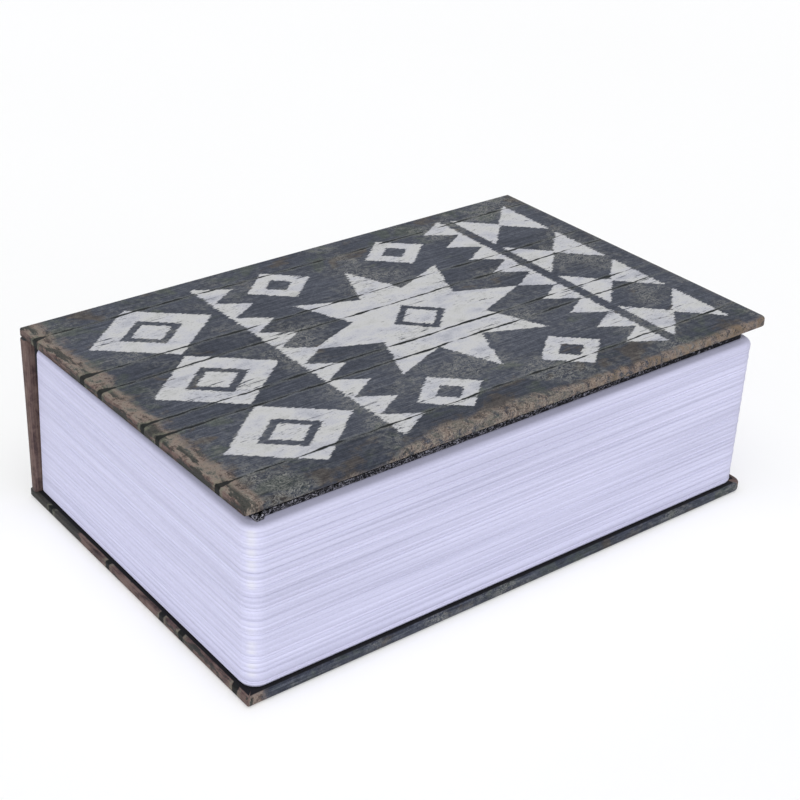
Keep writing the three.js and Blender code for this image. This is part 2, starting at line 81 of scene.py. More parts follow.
def outline(x0, x1, y0, y1, radius, corner=7, short=14, long=24, worn=None):
    """
    Points and outward directions round a rectangle with rounded corners; worn is the radius of the corner
    between x1 and y1, where it differs.
    """
    worn = radius if worn is None else worn
    centres = [
        (x0 + radius, y0 + radius, 180, radius),
        (x1 - radius, y0 + radius, 270, radius),
        (x1 - worn, y1 - worn, 0, worn),
        (x0 + radius, y1 - radius, 90, radius),
    ]
    steps = [short, long, short, long]
    points, ways = [], []
    for index, (cx, cy, start, r) in enumerate(centres):
        for step in range(corner + 1):
            angle = math.radians(start + 90 * step / corner)
            way = (math.cos(angle), math.sin(angle))
            points.append((cx + r * way[0], cy + r * way[1]))
            ways.append(way)
        nx, ny, begin, r = centres[(index + 1) % 4]
        angle = math.radians(begin)
        ahead = (nx + r * math.cos(angle), ny + r * math.sin(angle))
        last = points[-1]
        for step in range(1, steps[index]):
            share = step / steps[index]
            points.append(tuple(a + share * (b - a) for a, b in zip(last, ahead)))
            ways.append(ways[-1])
    return np.array(points), np.array(ways)


def level(ring, z, shift=0.0):
    """Points of a ring at one height, moved along X by a shift."""
    return np.c_[ring[:, 0] + shift, ring[:, 1], np.full(len(ring), z)]


def skin(rings, ends="capped"):
    """Faces between rings of equal length, closed by a face on each end or into a loop."""
    count = len(rings[0])
    points = [tuple(p) for ring in rings for p in ring]
    faces = []
    pairs = [(k, k + 1) for k in range(len(rings) - 1)]
    if ends == "looped":
        pairs.append((len(rings) - 1, 0))
    for a, b in pairs:
        for i in range(count):
            j = (i + 1) % count
            faces.append((a * count + i, a * count + j, b * count + j, b * count + i))
    if ends == "capped":
        faces.append(tuple(range(count))[::-1])
        last = (len(rings) - 1) * count
        faces.append(tuple(last + i for i in range(count)))
    return points, faces


def placed(name, data):
    """A new object in the scene."""
    obj = bpy.data.objects.new(name, data)
    bpy.context.scene.collection.objects.link(obj)
    return obj


def smoothed(mesh, joined=False):
    """The mesh with its faces turned outward and shaded smooth; joined makes one face of each flat area."""
    work = bmesh.new()
    work.from_mesh(mesh)
    if joined:
        bmesh.ops.remove_doubles(work, verts=work.verts, dist=0.002 * MM)
        bmesh.ops.dissolve_limit(work, angle_limit=math.radians(0.8), verts=work.verts, edges=work.edges)
    bmesh.ops.recalc_face_normals(work, faces=work.faces)
    work.to_mesh(mesh)
    work.free()
    mesh.polygons.foreach_set("use_smooth", [True] * len(mesh.polygons))
    return mesh


def piece(name, points, faces, sheet=None):
    """A mesh object with its points in millimetres, and its place on the printed sheet if it has one."""
    mesh = bpy.data.meshes.new(name)
    mesh.from_pydata([tuple(c * MM for c in p) for p in points], [], faces)
    if sheet is not None:
        layer = mesh.attributes.new("sheet", "FLOAT_VECTOR", "POINT")
        layer.data.foreach_set("vector", np.array(sheet, np.float32).ravel())
    return placed(name, smoothed(mesh))


def dressed(node, name, width):
    """A copy of a CAD node with its flat faces joined and its edges broken by a width."""
    mesh = frame["nodes"][node].data.copy()
    mesh.name = name
    mesh.materials.clear()
    obj = placed(name, smoothed(mesh, joined=True))
    bevel = obj.modifiers.new("edges", "BEVEL")
    bevel.width = width * MM
    bevel.segments = 2
    bevel.limit_method = "ANGLE"
    bevel.angle_limit = math.radians(32)
    bevel.harden_normals = True
    bevel.use_clamp_overlap = True
    return obj


# Materials


def srgb(red, green, blue):
    """A colour as it is seen, 0 to 255, as the linear value that a shader takes."""
    seen = [c / 255 for c in (red, green, blue)]
    return tuple(
        c / 12.92 if c <= 0.04045 else ((c + 0.055) / 1.055) ** 2.4 for c in seen
    ) + (1.0,)


class Field:
    """A number that varies over a surface, written as maths nodes."""

    def __init__(self, tree, socket):
        self.tree, self.socket = tree, socket

    def maths(self, operation, *others):
        node = self.tree.nodes.new("ShaderNodeMath")
        node.operation = operation
        for slot, value in zip(node.inputs, (self,) + others):
            if isinstance(value, Field):
                self.tree.links.new(value.socket, slot)
            else:
                slot.default_value = value
        return Field(self.tree, node.outputs[0])

    def __add__(self, other):
        return self.maths("ADD", other)

    def __sub__(self, other):
        return self.maths("SUBTRACT", other)

    def __mul__(self, other):
        return self.maths("MULTIPLY", other)

    def __truediv__(self, other):
        return self.maths("DIVIDE", other)

    def __neg__(self):
        return self.maths("MULTIPLY", -1.0)

    def __abs__(self):
        return self.maths("ABSOLUTE")

    def least(self, other):
        return self.maths("MINIMUM", other)

    def most(self, other):
        return self.maths("MAXIMUM", other)

    def fraction(self):
        return self.maths("FRACT")

    def ramp(self, low, high):
        """0 below low, 1 above high, smooth between."""
        node = self.tree.nodes.new("ShaderNodeMapRange")
        node.interpolation_type = "SMOOTHSTEP"
        self.tree.links.new(self.socket, node.inputs["Value"])
        node.inputs["From Min"].default_value = min(low, high)
        node.inputs["From Max"].default_value = max(low, high)
        node.inputs["To Min"].default_value = 0.0 if low < high else 1.0
        node.inputs["To Max"].default_value = 1.0 if low < high else 0.0
        return Field(self.tree, node.outputs["Result"])


class Surface:
    """A material under construction."""

    def __init__(self, name, roughness, metallic=0.0, specular=0.5):
        self.material = bpy.data.materials.new(name)
        self.material.use_nodes = True
        self.tree = self.material.node_tree
        self.shader = self.tree.nodes["Principled BSDF"]
        self.shader.inputs["Roughness"].default_value = roughness
        self.shader.inputs["Metallic"].default_value = metallic
        self.shader.inputs["Specular IOR Level"].default_value = specular

    def node(self, kind, **inputs):
        """A new node, with values or links for the inputs that are named."""
        made = self.tree.nodes.new(kind)
        for name, value in inputs.items():
            self.plug(value, made.inputs[name])
        return made

    def plug(self, value, slot):
        """Links a field or a socket to the slot, or writes a plain value there."""
        if isinstance(value, Field):
            value = value.socket
        if isinstance(value, bpy.types.NodeSocket):
            self.tree.links.new(value, slot)
        else:
            slot.default_value = value

    def parts(self, socket):
        """The three numbers of a vector."""
        split = self.node("ShaderNodeSeparateXYZ", Vector=socket)
        return [Field(self.tree, out) for out in split.outputs]

    def sheet(self):
        """Place on the printed sheet, in millimetres."""
        made = self.node("ShaderNodeAttribute")
        made.attribute_name = "sheet"
        return self.parts(made.outputs["Vector"])

    def place(self):
        """Place in the row frame, in millimetres."""
        made = self.node("ShaderNodeTexCoord")
        return [field * (1 / MM) for field in self.parts(made.outputs["Object"])]

    def vector(self, x, y, z):
        return self.node("ShaderNodeCombineXYZ", X=x, Y=y, Z=z).outputs[0]

    def noise(self, x, y, z, detail=3.0, roughness=0.5, twist=0.0):
        """Cloudy noise about 0.5, with features of about 1 in x, y and z."""
        made = self.node("ShaderNodeTexNoise", Vector=self.vector(x, y, z))
        made.inputs["Scale"].default_value = 1.0
        made.inputs["Detail"].default_value = detail
        made.inputs["Roughness"].default_value = roughness
        made.inputs["Distortion"].default_value = twist
        return Field(self.tree, made.outputs[0])

    def cells(self, x, y, z):
        """Distance from the middle of the nearest of the cells that fill the surface."""
        made = self.node("ShaderNodeTexVoronoi", Vector=self.vector(x, y, z))
        made.inputs["Scale"].default_value = 1.0
        return Field(self.tree, made.outputs["Distance"])

    def mix(self, share, first, second):
        """The first colour where share is 0, the second where it is 1."""
        made = self.node("ShaderNodeMix")
        made.data_type = "RGBA"
        self.plug(share, made.inputs[0])
        self.plug(first, made.inputs[6])
        self.plug(second, made.inputs[7])
        return made.outputs[2]

    def tones(self, share, *stops, steps=False):
        """A colour for each value of share; stops are (place, colour), and steps keeps them apart."""
        made = self.node("ShaderNodeValToRGB")
        ramp = made.color_ramp
        ramp.interpolation = "CONSTANT" if steps else "LINEAR"
        while len(ramp.elements) < len(stops):
            ramp.elements.new(0.5)
        for element, (where, _) in zip(ramp.elements, stops):
            element.position = where
        for element, (_, colour) in zip(ramp.elements, stops):
            element.color = colour
        self.plug(share, made.inputs[0])
        return made.outputs[0]

    def grey(self, share, *stops, steps=False):
        """A number for each value of share; stops are (place, number)."""
        colours = [(where, (value, value, value, 1.0)) for where, value in stops]
        return Field(self.tree, self.tones(share, *colours, steps=steps))

    def finish(self, colour, height=None, depth=0.05, roughness=None):
        """Wires colour, roughness and a bump of depth millimetres into the shader."""
        self.plug(colour, self.shader.inputs["Base Color"])
        if roughness is not None:
            self.plug(roughness, self.shader.inputs["Roughness"])
        if height is not None:
            bump = self.node("ShaderNodeBump", Height=height)
            bump.inputs["Strength"].default_value = 1.0
            bump.inputs["Distance"].default_value = depth * MM
            self.tree.links.new(bump.outputs[0], self.shader.inputs["Normal"])
        return self.material


# Painted geometric motifs, each positive inside and in millimetres from its edge


def lozenge(u, v, half_u, half_v):
    slope = half_u * half_v / math.hypot(half_u, half_v)
    return (abs(u) / -half_u - abs(v) / half_v + 1.0) * slope


def panel(u, v, half_u, half_v):
    return (-abs(u) + half_u).least(-abs(v) + half_v)


def repeated(u, pitch):
    """Distance from the nearest multiple of the pitch, signed."""
    return ((u / pitch + 0.5).fraction() - 0.5) * pitch


def teeth(u, v, pitch, height):
    """Row of triangles standing on v = 0."""
    rise = v / height
    return (abs(repeated(u, pitch)) * (-2.0 / pitch) - rise + 1.0).least(rise) * (pitch * 0.4)


def star(u, v, reach):
    """Eight-pointed star, folded along its axes until one edge is left."""
    u, v = abs(u), abs(v)
    far, near = u.most(v), u.least(v)
    half_turn = math.radians(22.5)
    over = (near * math.cos(half_turn) - far * math.sin(half_turn)).most(0.0)
    far = far + over * (2 * math.sin(half_turn))
    near = near - over * (2 * math.cos(half_turn))
    notch = 0.541 * reach
    ex, ey = notch * math.cos(half_turn) - reach, notch * math.sin(half_turn)
    length = math.hypot(ex, ey)
    return (-far + reach) * (ey / length) + near * (ex / length)


def quilt(s, y):
    """The cover's painted design: traditional patchwork in rows, from the tail up."""
    u = s - HALF_WIDTH
    tooth, middle, hourglasses = (11.45, 9.5), 97.0, 160.0
    row = lozenge(repeated(u, 34.4), y - 29.0, 16.2, 19.0)
    design = row.least(-row + 5.6).most(row - 8.4)
    design = design.most(teeth(u, y - 52.5, *tooth))
    core = lozenge(u, y - middle, 9.5, 9.5)
    design = design.most(star(u, y - middle, 36.0).least(-core).most(core - 2.6))
    corner = lozenge(abs(u) - 40.5, abs(y - middle) - 21.5, 9.5, 10.5)
    design = design.most(corner.least(-corner + 3.6))
    design = design.most(teeth(u, -y + 144.5, *tooth))
    v, w = y - hourglasses, repeated(u + 13.0, 26.0)
    design = design.most(panel(w, v, 11.0, 11.0).least((abs(v) - abs(w)) * 0.7))
    return design.least(panel(u, y - HALF_LENGTH, 51.5, HALF_LENGTH))


def sides(s, spine_edge, fore_edge):
    """Distance from the spine-side edge and from the fore-edge of a board, negative round the edge."""
    if fore_edge > spine_edge:
        return s - spine_edge, -s + fore_edge
    return -s + spine_edge, s - fore_edge


class Planks(Surface):
    """
    Weathered planks printed on matt paper, under construction. The planks meet at the joints, within the
    span; edges are the places of the spine-side edge and the fore-edge on the sheet.
    """

    def __init__(self, name, joints, span, edges):
        super().__init__(name, roughness=0.55, specular=0.1)
        self.s, self.y, _ = self.sheet()
        self.tail, self.head = self.y + HALF_LENGTH, -self.y + HALF_LENGTH
        self.end = self.tail.least(self.head)
        self.near_spine, self.near_fore = sides(self.s, *edges)
        self.near, self.plank = self.boards(joints, span)
        self.broad = self.drawn(0.05, 0.022, self.plank * 7.0, 4.0, 0.6)
        self.cloud = self.drawn(0.11, 0.08, 13.0, 5.0, 0.65, 0.4)
        self.patch = self.drawn(0.15, 0.21, 71.0, 3.0, 0.55, 0.6)
        self.blot = self.drawn(0.42, 0.5, 41.0, 6.0, 0.72, 0.5)
        self.mottle = self.drawn(0.75, 0.5, 17.0, 5.0, 0.7)
        self.grain = self.drawn(2.2, 0.09, self.plank * 9.0, 5.0, 0.65)
        self.fine = self.drawn(3.2, 2.4, 3.0, 3.0, 0.75)
        ragged = (self.drawn(0.1, 0.16, 31.0, 5.0, 0.62) - 0.5) * 13.0
        self.ragged = ragged + (self.drawn(1.3, 0.06, 33.0, 4.0, 0.6) - 0.5) * 5.0

    def drawn(self, across, along, seed, detail=3.0, roughness=0.5, twist=0.0):
        """Noise over the sheet, with so many features a millimetre across the planks and along them."""
        return self.noise(self.s * across, self.y * along, seed, detail, roughness, twist)

    def boards(self, joints, span):
        """Distance from the nearest joint and each plank's own tint; the joints wander along the planks."""
        wander = (self.drawn(0.03, 0.04, 1.5, 2.0) - 0.5) * 2.4
        wander = wander + (self.drawn(0.2, 0.3, 4.0, 4.0, 0.6) - 0.5) * 0.9
        across = self.s + wander
        near = abs(across - joints[0])
        for joint in joints[1:]:
            near = near.least(abs(across - joint))
        low, high = span
        starts = [0.0] + [(joint - low) / (high - low) for joint in sorted(joints)]
        tints = 0.5, 0.72, 0.3, 0.62, 0.42, 0.8, 0.36
        return near, self.grey((across - low) / (high - low), *zip(starts, tints), steps=True)

    def ground(self):
        """Dark colour of the planks, slate with a greenish grey by the edges and a warm grey elsewhere."""
        tone = self.plank * 0.2 + self.broad * 0.3 + (self.grain - 0.5) * 0.85 + (self.fine - 0.5) * 0.6
        tone = tone + (self.mottle - 0.5) * 0.55 + 0.23
        slate, green, warm = [
            self.tones(tone, *zip((0.2, 0.42, 0.58, 0.82), [srgb(*shade) for shade in shades]))
            for shades in (
                ((27, 30, 38), (53, 57, 67), (71, 75, 86), (108, 111, 119)),
                ((35, 41, 40), (61, 67, 65), (79, 85, 81), (111, 114, 106)),
                ((42, 38, 38), (68, 64, 62), (89, 83, 78), (121, 114, 105)),
            )
        ]
        verge = self.near_spine.least(self.near_fore).least(self.tail).ramp(26.0, 3.0)
        greenish = (self.cloud + (self.plank - 0.5) * 0.15 + verge * 0.14).ramp(0.64, 0.76)
        colour = self.mix(greenish * 0.8, slate, green)
        warmed = (self.cloud + (self.broad - 0.5) * 0.5 - verge * 0.12).ramp(0.36, 0.25)
        return self.mix(warmed * 0.85, colour, warm)

    def older_coat(self, colour):
        """Clusters of pale curls and flecks where an older coat shows."""
        curl = abs(self.drawn(0.5, 0.34, 23.0, 3.0, 0.6, 1.6) - 0.5).ramp(0.035, 0.008)
        fleck = self.drawn(1.5, 0.9, 29.0, 4.0, 0.7).ramp(0.58, 0.66)
        cluster = self.drawn(0.05, 0.045, 37.0, 3.0, 0.6)
        worn = curl.most(fleck) * cluster.ramp(0.51, 0.64)
        colour = self.mix(worn * 0.7, colour, srgb(146, 146, 142))
        haze = self.mottle.ramp(0.46, 0.64) * cluster.ramp(0.42, 0.6)
        return self.mix(haze * 0.45, colour, srgb(116, 116, 112))

    def seams(self, slots):
        """
        Half width of the gaps between planks, and the dark line in them, which comes and goes. It opens
        into slots over the tail edge or, without slots, closes at both ends.
        """
        opening = self.drawn(0.02, 0.11, 6.0, 4.0, 0.6) * 2.4 - 1.15
        if slots:
            opening = opening + self.tail.ramp(5.0, -1.0) * 0.85
        else:
            opening = opening - self.end.ramp(9.0, 3.0) * 3.0
        return opening, (self.near - opening.most(-0.3)).ramp(0.38, 0.0)

    def painting(self):
        """Where the design's frayed white paint is left, worn off in dashes, gouges, chips and specks."""
        fringe = (self.drawn(1.7, 0.12, 47.0, 4.0, 0.7) - 0.5) * 5.0
        ripple = (self.drawn(0.7, 0.5, 49.0, 4.0, 0.7) - 0.5) * 1.1
        design = quilt(self.s + ripple, self.tail + fringe)
        area = self.drawn(0.07, 0.05, 53.0, 3.0) - 0.5
        dash = self.drawn(3.3, 0.42, 51.0, 3.0, 0.65) + area * 0.3
        gouge = self.drawn(0.85, 0.045, 55.0, 5.0, 0.65) + area * 0.25
        chip = self.drawn(0.62, 0.09, 57.0, 6.0, 0.7) + area * 0.3
        speck = self.drawn(3.4, 2.6, 61.0, 2.0, 0.6)
        bare = (dash.ramp(0.62, 0.67) * 0.85).most(gouge.ramp(0.64, 0.665)).most(chip.ramp(0.64, 0.665))
        bare = bare.most(speck.ramp(0.64, 0.7) * 0.7)
        return (design + (self.fine - 0.5) * 0.35).ramp(-0.4, -0.16) * (-bare + 1.0)

    def chalk(self):
        """White of the paint, cloudy and grainy."""
        tone = self.drawn(0.16, 0.09, 81.0, 4.0, 0.6) + (self.fine - 0.5) * 0.5 + (self.grain - 0.5) * 0.3
        return self.tones(
            tone,
            (0.28, srgb(166, 168, 177)),
            (0.42, srgb(191, 192, 199)),
            (0.56, srgb(202, 202, 202)),
            (0.74, srgb(181, 182, 181)),
        )

    def margin(self, art):
        """Brown margin at the tail and a fainter one at the head; with art, one along the fore-edge too."""
        margin = (self.head + self.ragged).ramp(2.4, 0.4) * (0.15 if art else 0.7)
        margin = (self.tail + self.ragged).ramp(7.5, 3.0).most(margin)
        tone = (self.patch - 0.5) * 1.4 + (self.blot - 0.5) * 0.9 + (self.mottle - 0.5) * 0.8
        tan = self.tones(
            tone + (self.fine - 0.5) + 0.5,
            (0.16, srgb(40, 37, 38)),
            (0.3, srgb(80, 69, 65)),
            (0.4, srgb(115, 101, 93)),
            (0.52, srgb(144, 129, 119)),
            (0.66, srgb(126, 118, 109)),
            (0.8, srgb(80, 82, 78)),
            (0.94, srgb(52, 57, 58)),
        )
        if art:
            reaches = (0.0, 0.0), (0.2, 0.1), (0.3, 0.8), (0.46, 0.75), (0.56, 0.45), (0.9, 0.5)
            reach = self.grey(self.tail / 200.0, *reaches) * 9.0
            strip = (self.near_fore + self.ragged * 0.35 - reach + 3.0).ramp(1.2, -1.2)
            margin = margin.most(strip * (self.blot + self.fine).ramp(0.86, 1.04))
            # Rusty on the head's side of the middle, crumbly on the tail's side
            rust = (self.patch + (self.blot - 0.5) * 0.8).ramp(0.46, 0.6) * self.tail.ramp(100.0, 122.0)
            tan = self.mix(rust * self.near_fore.ramp(9.0, 4.0) * 0.6, tan, srgb(126, 104, 82))
            crumb = self.drawn(1.6, 1.3, 73.0, 3.0, 0.8)
            scuffed = self.near_fore.ramp(9.0, 2.0) * (self.tail.ramp(122.0, 100.0) * 0.7 + 0.3)
            tan = self.mix(scuffed * crumb.ramp(0.52, 0.6) * 0.6, tan, srgb(160, 154, 143))
            tan = self.mix(scuffed * crumb.ramp(0.47, 0.38) * 0.7, tan, srgb(58, 55, 53))
        return margin * 0.9, tan

    def ends(self, colour, art):
        """Redder brown, streaked along the edge, over the ends of the board; with art, darker from halfway
        down the edge.
        """
        bands = self.drawn(0.06, 1.9, 43.0, 4.0, 0.7)
        brown = self.tones(
            (bands - 0.5) * 0.75 + (self.patch - 0.5) * 0.5 + (self.blot - 0.5) * 0.5 + 0.5,
            (0.28, srgb(46, 38, 40)),
            (0.42, srgb(80, 65, 64)),
            (0.56, srgb(103, 85, 81)),
            (0.68, srgb(116, 100, 94)),
            (0.8, srgb(88, 84, 81)),
        )
        over = ((self.tail if art else self.end) + (self.blot - 0.5) * 2.6).ramp(0.9, 0.0)
        colour = self.mix(over * 0.92, colour, brown)
        if art:
            # Darker from halfway down the edge onto the underside
            darker_below = (self.end + (self.blot - 0.5) * 1.6).ramp(-0.5, -1.5)
            colour = self.mix(darker_below * 0.6, colour, srgb(48, 35, 34))
        return colour

    def tail_edge(self, colour, opening, art):
        """Olive black stretches of the tail edge, and a pale rim round each slot in it."""
        dark = self.drawn(0.09, 0.3, 45.0, 5.0, 0.65)
        if not art:
            dark = dark + self.near_spine.ramp(34.0, 20.0) * 0.3 - 0.06
        dark = dark.ramp(0.48, 0.53) * (self.tail + self.ragged * 0.2).ramp(4.0, 2.4)
        olive = self.tones(self.fine, (0.35, srgb(24, 27, 28)), (0.65, srgb(56, 62, 60)))
        colour = self.mix(dark * 0.85, colour, olive)
        pale = (self.near - opening).ramp(2.2, 0.7) * self.tail.ramp(8.0, 1.0)
        pale = pale * self.mottle.ramp(0.42, 0.58)
        return self.mix(pale * 0.55, colour, srgb(118, 119, 104))

    def inner_face(self):
        """Black inner face of the board, from just inside its edge, and its colour."""
        rim = self.end.least(self.near_spine).least(self.near_fore)
        inner = (rim + self.ragged * 0.03).ramp(-3.1, -3.4)
        return inner, self.tones(self.fine, (0.35, srgb(22, 22, 25)), (0.65, srgb(34, 34, 38)))


def printed(name, joints, span, edges, art=False, slots=True):
    """
    Print of one board: art adds the painted design, and slots open the joints over the tail edge of a
    cover, which has a black inner face too.
    """
    look = Planks(name, joints, span, edges)
    height = look.grain * 0.6 + look.fine * 0.4
    roughness = look.grain * 0.2 + 0.5
    opening, line = look.seams(slots)
    # Painted highlight along both sides of each plank joint
    glint = (look.near - opening - 0.7).ramp(0.5, 0.0) * 0.35
    colour = look.older_coat(look.ground())
    colour = look.mix(glint * look.fine.ramp(0.4, 0.6), colour, srgb(124, 126, 120))
    if art:
        painted = look.painting() * (-line + 1.0)
        colour = look.mix(painted * 0.96, colour, look.chalk())
        roughness = roughness + painted * 0.06
        height = height + painted
    margin, tan = look.margin(art)
    colour = look.ends(look.mix(margin, colour, tan), art)
    if slots:
        colour = look.tail_edge(colour, opening, art)
    colour = look.mix(line * 0.96, colour, srgb(15, 19, 20))
    height = height - line * 2.0
    if slots:
        inner, black = look.inner_face()
        colour = look.mix(inner, colour, black)
        height = height * (inner * -0.8 + 1.0)
        roughness = roughness + inner * 0.2
    return look.finish(colour, height, 0.04, roughness)


def black_paper():
    look = Surface("lining_paper", roughness=0.8)
    x, y, z = look.place()
    fibre = look.noise(x * 1.1, y * 1.1, z, 5.0, 0.7, 0.5)
    colour = look.tones(fibre, (0.3, srgb(30, 30, 33)), (0.7, srgb(46, 46, 50)))
    return look.finish(colour, fibre, 0.03, fibre * 0.2 + 0.7)


def grey_board():
    look = Surface("grey_board", roughness=0.9)
    x, y, z = look.place()
    fibre = look.noise(x * 0.9, y * 0.9, z * 4.0, 6.0, 0.7)
    colour = look.tones(fibre, (0.3, srgb(128, 120, 108)), (0.7, srgb(158, 150, 136)))
    return look.finish(colour, fibre, 0.05)


def page_plastic():
    """Pale lilac plastic with faint streaks along the pages, and a painted highlight on the corner of tail
    and fore-edge.
    """
    look = Surface("page_plastic", roughness=0.5, specular=0.3)
    x, y, z = look.place()
    leaves = look.noise(x * 0.012, y * 0.012, z * 1.4, 2.0, 0.6)
    broad = look.noise(x * 0.01, y * 0.01, z * 0.35, 2.0)
    grain = look.noise(x * 2.0, y * 2.0, z * 2.0, 2.0)
    tone = (leaves - 0.5) * 0.9 + (broad - 0.5) * 0.5 + (grain - 0.5) * 0.25 + 0.5
    colour = look.tones(
        tone,
        (0.25, srgb(180, 180, 205)),
        (0.5, srgb(196, 196, 221)),
        (0.75, srgb(207, 207, 232)),
    )
    # Painted highlight in patches on the rounded corner of tail and fore-edge
    corner = (x + HALF_WIDTH).ramp(BLOCK_FORE - 3.2, BLOCK_FORE - 1.0)
    corner = corner * (-y).ramp(BLOCK_HALF - 3.2, BLOCK_HALF - 1.0)
    colour = look.mix(corner * broad.ramp(0.45, 0.6) * 0.5, colour, srgb(216, 216, 212))
    return look.finish(colour, leaves, 0.08)


def wrinkle_coat():
    """Black wrinkle paint with painted highlights on worm-like ridges, most on the lid's strip by the
    fore-edge.
    """
    look = Surface("wrinkle_coat", roughness=0.38, specular=0.12)
    x, y, z = look.place()
    crawl = look.noise(x * 1.25, y * 1.25, z * 1.25, 1.0, 0.5, 1.0)
    ridge = abs(crawl - 0.5).ramp(0.06, 0.018)
    pit = look.noise(x * 3.4, y * 3.4, z * 3.4, 3.0, 0.7)
    # Painted highlights on the ridges, fewer towards the head and most on the lid's lip by the fore-edge
    broken = (look.noise(x * 1.1, y * 1.1, z * 1.1, 2.0) - y * 0.002).ramp(0.36, 0.5)
    lip = x.ramp(51.8, 52.6)
    glint = ridge * broken * (lip * 0.6 + 0.4)
    black = look.tones(pit, (0.35, srgb(10, 10, 13)), (0.65, srgb(28, 28, 33)))
    colour = look.mix(glint, black, srgb(176, 175, 186))
    return look.finish(colour, ridge + pit * 0.4, 0.14, pit * 0.3 + 0.25)


def steel(name, tone, roughness, brushed=True):
    """Bare or plated metal, clouded and, where it is brushed, streaked along X."""
    look = Surface(name, roughness=roughness, metallic=1.0)
    x, y, z = look.place()
    streak = look.noise(x * 0.4, y * 6.0, z * 6.0, 3.0, 0.6)
    cloud = look.noise(x * 0.3, y * 0.3, z * 0.3, 3.0)
    shade = streak * 0.5 + cloud * 0.5 if brushed else cloud
    dark = tuple(c * 0.8 for c in tone[:3]) + (1.0,)
    colour = look.tones(shade, (0.35, dark), (0.65, tone))
    return look.finish(colour, streak, 0.008, shade * 0.25 + roughness - 0.1)


def felt():
    look = Surface("black_felt", roughness=0.95)
    x, y, z = look.place()
    fibre = look.noise(x * 3.0, y * 3.0, z * 3.0, 4.0, 0.8, 1.0)
    cloud = look.noise(x * 0.15, y * 0.15, z * 0.15, 3.0)
    colour = look.tones(fibre * 0.6 + cloud * 0.4, (0.3, srgb(22, 22, 25)), (0.7, srgb(48, 48, 53)))
    look.shader.inputs["Sheen Weight"].default_value = 0.3
    return look.finish(colour, fibre, 0.25)


def foam():
    look = Surface("foam_tape", roughness=0.9)
    x, y, z = look.place()
    pores = look.cells(x * 3.0, y * 3.0, z * 3.0)
    colour = look.tones(pores, (0.2, srgb(200, 198, 188)), (0.8, srgb(232, 230, 222)))
    return look.finish(colour, pores, 0.1)


# Where planks meet on the printed sheet, which runs from the back cover's fore-edge to the front cover's
FRONT_JOINTS = (10.2, 37.1, 46.9, 69.0, 76.3, 104.1)
SPINE_JOINTS = (-44.0, -30.0, -21.0, -8.0)
BACK_JOINTS = (-65.2, -97.8, -127.2, -136.9, -162.7)
BACK_START = -52.0  # spine edge of the back cover on the sheet
BACK_EDGES = (BACK_START, BACK_START - BACK_FORE)
NO_EDGES = (99.0, -99.0)  # beyond the spine, so that no margin follows its long edges

MATERIALS = {
    "front": printed("front_print", FRONT_JOINTS, (-16.0, 135.0), (FRONT_SPINE, FRONT_FORE), art=True),
    "spine": printed("spine_print", SPINE_JOINTS, (-60.0, 5.0), NO_EDGES, slots=False),
    "back": printed("back_print", BACK_JOINTS, (-186.0, -36.0), BACK_EDGES),
    "paper": black_paper(),
    "board": grey_board(),
    "page": page_plastic(),
    "coat": wrinkle_coat(),
    "zinc": steel("zinc_plate", srgb(198, 200, 204), 0.34),
    "chrome": steel("lock_chrome", srgb(222, 223, 227), 0.16, brushed=False),
    "brass": steel("wafer_brass", srgb(214, 178, 104), 0.3),
    "felt": felt(),
    "foam": foam(),
}


def paint(obj, *names):
    """The object with the named materials in place of its own."""
    obj.data.materials.clear()
    for name in names:
        obj.data.materials.append(MATERIALS[name])
    return obj


# Covers


def cover(x0, x1, half, worn):
    """
    Rings of a wrapped board, from its printed face over the edges to the window that the lining fills, and
    their places on the printed sheet; worn is the radius of its corner at head and fore-edge.
    """
    corner, rounding, lower, sharp = 0.55, 0.65, 0.35, 0.3
    flat = rounding + 0.4
    profile = [(6.0, THICK), (flat, THICK)]
    for angle in QUARTER:
        profile.append((rounding * (1 - math.sin(angle)), THICK - rounding * (1 - math.cos(angle))))
    for angle in QUARTER:
        profile.append((lower * (1 - math.cos(angle)), lower * (1 - math.sin(angle))))
    profile.append((flat, 0.0))
    base, ways = outline(x0, x1, -half, half, corner, worn=worn)
    rings, sheets = [], []
    path, before = 0.0, None
    for inset, z in profile:
        ring, _ = outline(
            x0 + inset,
            x1 - inset,
            inset - half,
            half - inset,
            max(corner - inset, sharp),
            worn=max(worn - inset, sharp),
        )
        if z == THICK:
            path, sheet = 0.0, ring
        else:
            path += math.hypot(inset - before[0], z - before[1])
            sheet = base + ways * (path - rounding)
        before = (inset, z)
        rings.append(level(ring, z))
        sheets.append(level(sheet, 0.0))
    depth = 0.32
    for grow, z in ((-0.2, 0.0), (0.0, 0.0), (0.0, depth), (0.5, depth)):
        ring, _ = outline(
            x0 + SPINE_MARGIN + grow,
            x1 - TURN_IN - grow,
            TURN_IN - half + grow,
            half - TURN_IN - grow,
            sharp,
        )
        rings.append(level(ring, z))
        sheets.append(level(base + ways * (path + TURN_IN), 0.0))
    return rings, sheets


def pastedown(x0, x1):
    """Lining paper in the window of a cover's inner face."""
    x0, x1 = x0 + SPINE_MARGIN + LINING_GAP, x1 - TURN_IN - LINING_GAP
    half = HALF_LENGTH - TURN_IN - LINING_GAP
    rings = []
    for inset, z in ((0.6, 0.02), (0.1, 0.04), (0.0, 0.1), (0.0, 0.3), (0.6, 0.3)):
        ring, _ = outline(x0 + inset, x1 - inset, inset - half, half - inset, 1.0 - inset * 0.5)
        rings.append(level(ring, z))
    return rings


